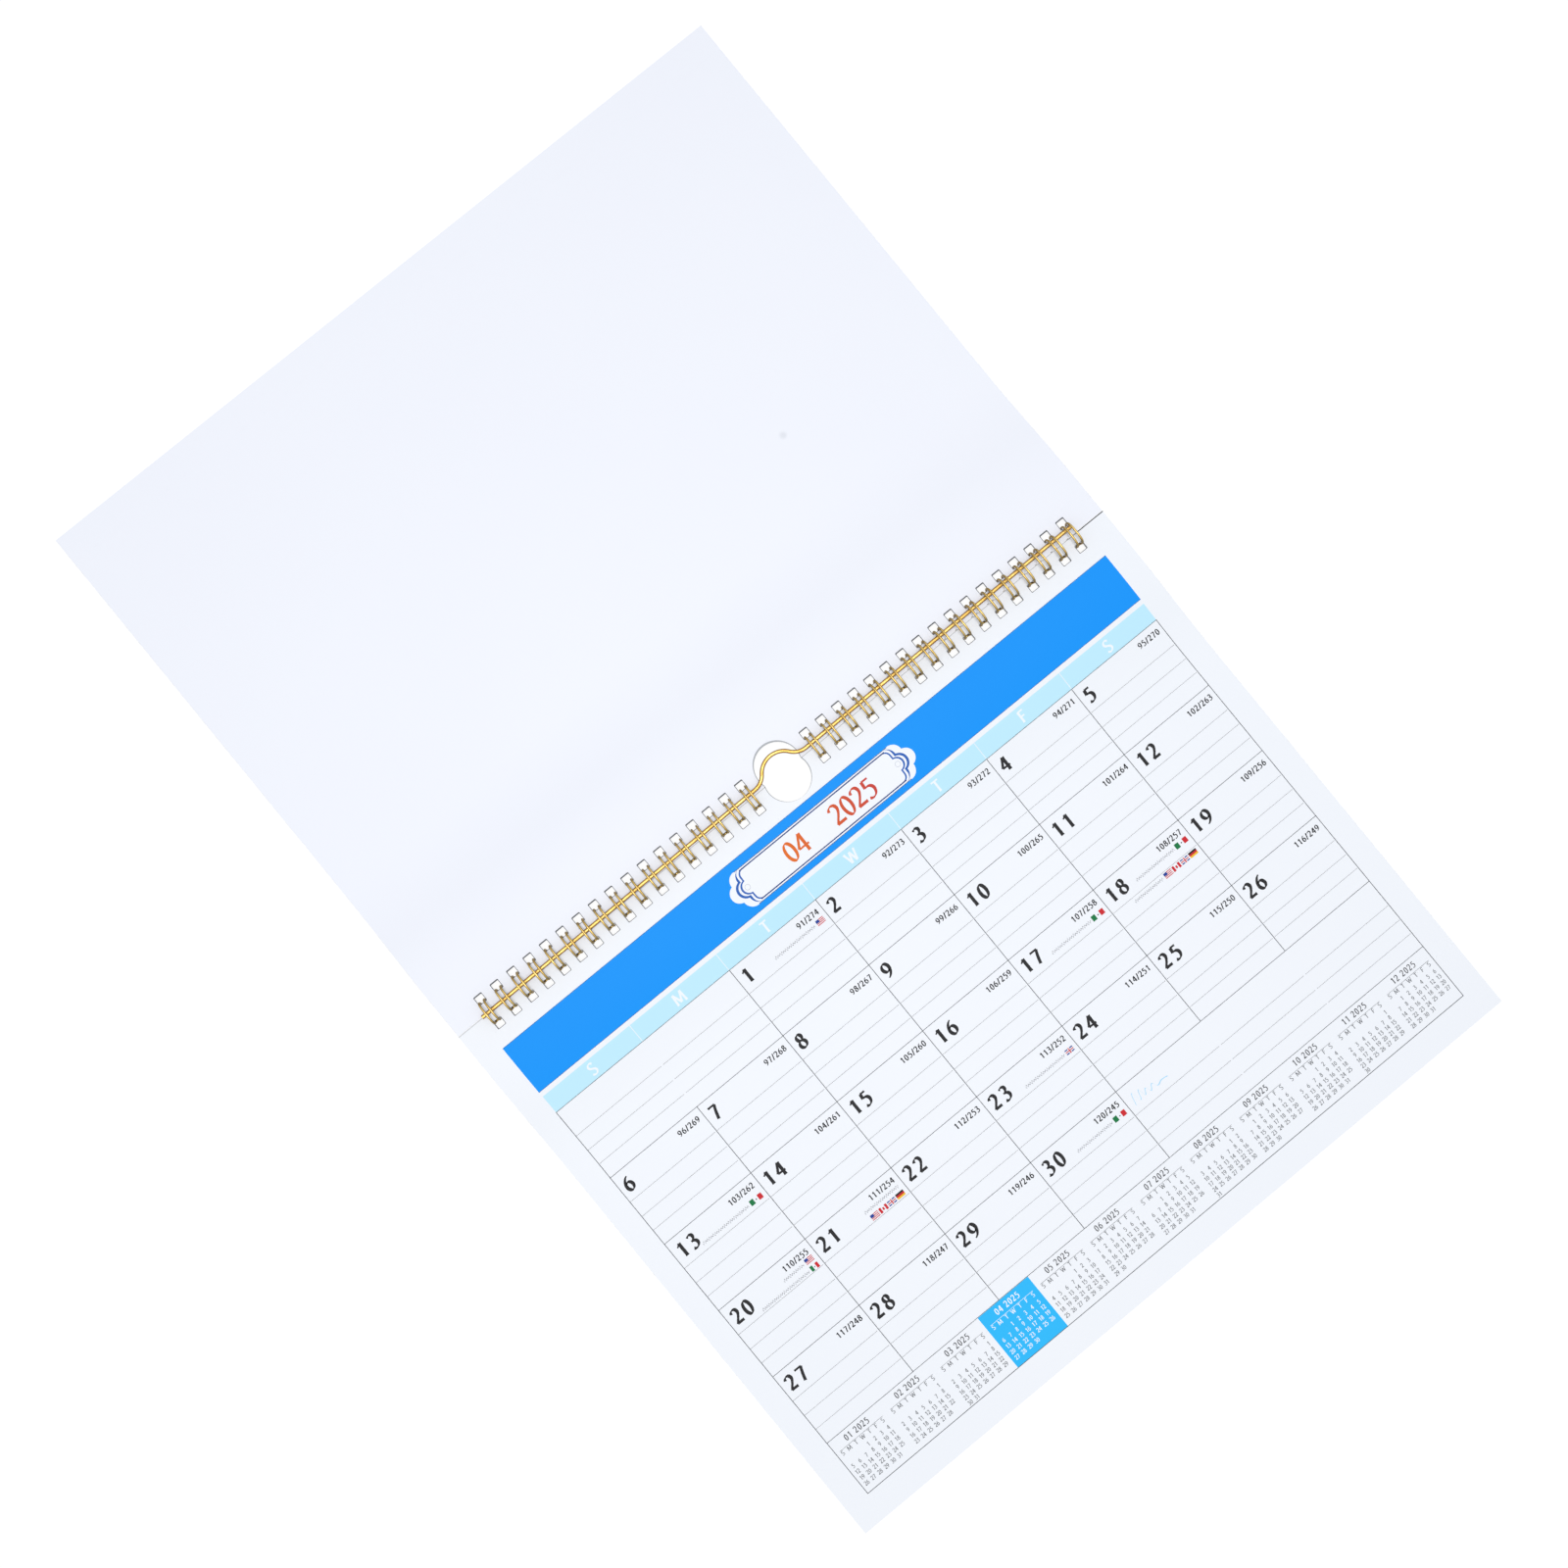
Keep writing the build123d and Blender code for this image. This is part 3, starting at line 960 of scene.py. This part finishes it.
# The bands of each field: colour, then left, right, top and bottom as shares of the field.
bands = {
    "upright": [("green", 0, 0.33, 0, 1), ("red", 0.67, 1, 0, 1), ("black", 0.47, 0.55, 0.4, 0.6)],
    "red_sides": [("red", 0, 0.27, 0, 1), ("red", 0.73, 1, 0, 1), ("red", 0.4, 0.6, 0.25, 0.75)],
    "striped": [("red", 0, 1, 0, 0.14), ("red", 0, 1, 0.29, 0.43), ("red", 0, 1, 0.57, 0.71),
                ("red", 0, 1, 0.86, 1), ("blue", 0, 0.42, 0, 0.52)],
    "crossed": [("blue", 0, 0.36, 0.05, 0.25), ("blue", 0.64, 1, 0.05, 0.25), ("blue", 0, 0.36, 0.75, 0.95),
                ("blue", 0.64, 1, 0.75, 0.95), ("red", 0.44, 0.56, 0, 1), ("red", 0, 0.42, 0.42, 0.58),
                ("red", 0.58, 1, 0.42, 0.58)],
    "layered": [("black", 0, 1, 0, 0.33), ("red", 0, 1, 0.33, 0.67), ("yellow", 0, 1, 0.67, 1)],
}
four = ["layered", "crossed", "red_sides", "striped"]

# The lines of each marked day: how far down it is, the wave's length, a field's width and the
# fields from right to left.
marked_days = {
    1: [(8.2, 21.5, narrow_flag, ["striped"])],
    13: [(9.7, 24.5, broad_flag, ["upright"])],
    17: [(9.1, 21.0, broad_flag, ["upright"])],
    18: [(8.1, 20.5, broad_flag, ["upright"]), (14.5, 15.5, narrow_flag, four)],
    20: [(7.6, 11.0, narrow_flag, ["striped"]), (11.2, 25.0, narrow_flag, ["upright"])],
    21: [(7.4, 18.0, narrow_flag, []), (10.9, 0.0, narrow_flag, four)],
    23: [(9.7, 21.0, narrow_flag, ["crossed"])],
    30: [(8.7, 19.0, broad_flag, ["upright"])],
}


def press_flag(bands_of_flag, x, top, width):
    """Prints a small field of banded colour, each band in its own ink."""
    for count, (colour, start, end, upper, lower) in enumerate(bands_of_flag):
        press_bar(marks[colour], x + start * width, x + end * width, top + upper * flag_height,
                  top + lower * flag_height, over_print + band_lift * count)


def press_wave(body, x, middle, length):
    """Prints a wave that ends at x, rising and falling unevenly about its middle."""
    wave = []
    for step in range(int(length / wave_step)):
        swell = 1 - wave_swell + wave_swell * sin(step * wave_beat)
        wave.append((x - length + step * wave_step, middle + wave_height * sin(step * wave_turn) * swell))
    press_ribbon(body, wave, [(across, reach + wave_width) for across, reach in wave], over_print)


marks = {colour: bmesh.new() for colour in mark_colours}
waves = bmesh.new()
for day, lines in marked_days.items():
    left, top = day_corner(day)
    for drop, wave_length, flag_width, flags in lines:
        x = left + column_width - mark_indent
        for flag in flags:
            x -= flag_width
            press_flag(bands[flag], x, top + drop - flag_height / 2, flag_width)
            x -= flag_gap
        if wave_length:
            press_wave(waves, x, top + drop, wave_length)
for name, colour in mark_colours.items():
    add_print(f"{name}_marks", marks[name], printing_ink(f"mark_{name}", colour, colour), "line_ink")
wave_ink = printing_ink("script_grey", (156, 159, 166), (168, 170, 176))
add_print("script_waves", waves, wave_ink, "line_ink")

# The notes field after the last day opens with a light blue flourish, drawn in one smooth stroke
# that is a little slanted at its ends.
curl_knots = ((3, 9.5), (4.5, 4.5), (6.0, 9.0), (7.5, 5.0), (8.6, 8.6), (10.2, 6.4), (11.6, 8.8), (13.4, 6.6),
              (15.0, 8.8), (17.5, 8.0), (20.5, 8.4))
curl_steps = 6
curl_slant = 0.12
curl_width = 0.34
left, top = day_corner(days + 1)
curl = through_points([(left + x, top + drop) for x, drop in curl_knots], curl_steps)
flourish = bmesh.new()
press_ribbon(flourish, curl, [(x + curl_slant, reach + curl_width) for x, reach in curl], over_print)
flourish_ink = printing_ink("flourish_blue", (150, 215, 250), (165, 222, 252))
add_print("notes_flourish", flourish, flourish_ink, "pale_blue_ink")

# The year at the foot: twelve small months, each with its number and the year over a thin rule,
# and its days in figures under it.
head_height = 2.7
head_drop = 4.5
head_pen = {"thick": 0.16, "thin": 0.08, "stretch": 0.95, "align": 0.5, "steps": 3, "spacing": 0.14}
head_rule_indent = 2
head_rule_top = 5.9
head_rule_bottom = 6.05
foot_indent = 2.6
foot_pitch = 3.46
foot_initial_height = 1.9
foot_initial_drop = 8.2
foot_initial_pen = {"thick": 0.15, "thin": 0.09, "stretch": 1.1, "align": 0.5, "steps": 2}
foot_day_height = 1.8
foot_day_drop = 11.8
foot_day_pen = {"thick": 0.15, "thin": 0.09, "align": 0.5, "steps": 2}
week_pitch = 2.9
close_week_pitch = 2.72
most_open_weeks = 5
foot_figures = bmesh.new()
foot_titles = bmesh.new()
for month in range(1, months + 1):
    left = print_left + (month - 1) * month_width
    small, head = (white_print, white_print) if month == month_on_show else (foot_figures, foot_titles)
    write(head, f"{month:02d} {year_on_show}", left + month_width / 2, foot_top + head_drop, head_height,
          over_print, **head_pen)
    press_bar(small, left + head_rule_indent, left + month_width - head_rule_indent, foot_top + head_rule_top,
              foot_top + head_rule_bottom, over_print)
    for column, initial in enumerate(initials):
        write(small, initial, left + foot_indent + column * foot_pitch, foot_top + foot_initial_drop,
              foot_initial_height, over_print, **foot_initial_pen)
    weekday, length = calendar.monthrange(year_on_show, month)
    offset = (weekday + 1) % columns
    weeks = (offset + length + columns - 1) // columns
    pitch = week_pitch if weeks <= most_open_weeks else close_week_pitch
    for day in range(1, length + 1):
        week, column = divmod(day - 1 + offset, columns)
        write(small, str(day), left + foot_indent + column * foot_pitch,
              foot_top + foot_day_drop + week * pitch, foot_day_height, over_print, **foot_day_pen)
foot_ink = printing_ink("foot_grey", (112, 114, 118), (128, 130, 134))
foot_title_ink = printing_ink("foot_dark", (84, 85, 88), (100, 101, 104))
white_ink = printing_ink("white_reserve", (246, 250, 255), (240, 248, 255))
add_print("foot_figures", foot_figures, foot_ink, "line_ink")
add_print("foot_titles", foot_titles, foot_title_ink, "line_ink")
add_print("white_print", white_print, white_ink, "plaque_ink")

# The studio: a plain white table, a large soft lamp overhead and an even pale room. Table and
# room are white where the camera sees them, also in a reflection, and light the part less.
white = (1, 1, 1, 1)
table_half_size = 4.0
table_gap = 0.1
table_glow = 0.92
lamp_place = (-0.03, 0.0, 2.2)


def seen_or_mirrored(tree):
    """1 for what the camera sees directly, in a reflection or through glass, and else 0."""
    rays = tree.nodes.new("ShaderNodeLightPath")
    seen = rays.outputs["Is Camera Ray"]
    for kind in ("Is Glossy Ray", "Is Transmission Ray"):
        either = tree.nodes.new("ShaderNodeMath")
        either.operation = "MAXIMUM"
        tree.links.new(seen, either.inputs[0])
        tree.links.new(rays.outputs[kind], either.inputs[1])
        seen = either.outputs["Value"]
    return seen


table_mesh = bpy.data.meshes.new("table")
table_body = bmesh.new()
bmesh.ops.create_grid(table_body, x_segments=1, y_segments=1, size=table_half_size)
bmesh.ops.translate(table_body, vec=(0, 0, -table_gap * mm), verts=table_body.verts)
table_body.to_mesh(table_mesh)
table_body.free()
table = bpy.data.objects.new("table", table_mesh)
bpy.context.collection.objects.link(table)
table_paint, tree, paint = new_material("table_white")
paint.inputs["Base Color"].default_value = (0.13, 0.13, 0.13, 1)
paint.inputs["Roughness"].default_value = 0.9
paint.inputs["Specular IOR Level"].default_value = 0.0
paint.inputs["Emission Color"].default_value = white
glow = tree.nodes.new("ShaderNodeMath")
glow.operation = "MULTIPLY"
glow.inputs[1].default_value = table_glow
tree.links.new(seen_or_mirrored(tree), glow.inputs[0])
tree.links.new(glow.outputs["Value"], paint.inputs["Emission Strength"])
table_mesh.materials.append(table_paint)

room = bpy.data.worlds.new("room")
bpy.context.scene.world = room
room.use_nodes = True
tree = room.node_tree
way = tree.nodes.new("ShaderNodeTexCoord")
height = tree.nodes.new("ShaderNodeSeparateXYZ")
tree.links.new(way.outputs["Generated"], height.inputs["Vector"])
walls = tree.nodes.new("ShaderNodeValToRGB")
walls.color_ramp.elements[0].position = 0.0
walls.color_ramp.elements[0].color = (0.06, 0.06, 0.06, 1)
walls.color_ramp.elements[1].position = 0.5
walls.color_ramp.elements[1].color = (0.555, 0.56, 0.565, 1)
tree.links.new(height.outputs["Z"], walls.inputs["Fac"])
backdrop = mixed(tree, walls.outputs["Color"], white, seen_or_mirrored(tree))
tree.links.new(backdrop, tree.nodes["Background"].inputs["Color"])

lamp_data = bpy.data.lights.new("overhead_lamp", "AREA")
lamp_data.shape = "DISK"
lamp_data.size = 0.7
lamp_data.energy = 24.0
lamp = bpy.data.objects.new("overhead_lamp", lamp_data)
lamp.location = lamp_place
lamp.rotation_euler = Vector(lamp_place).to_track_quat("Z", "Y").to_euler()
bpy.context.collection.objects.link(lamp)

bpy.context.scene.view_settings.view_transform = "Standard"
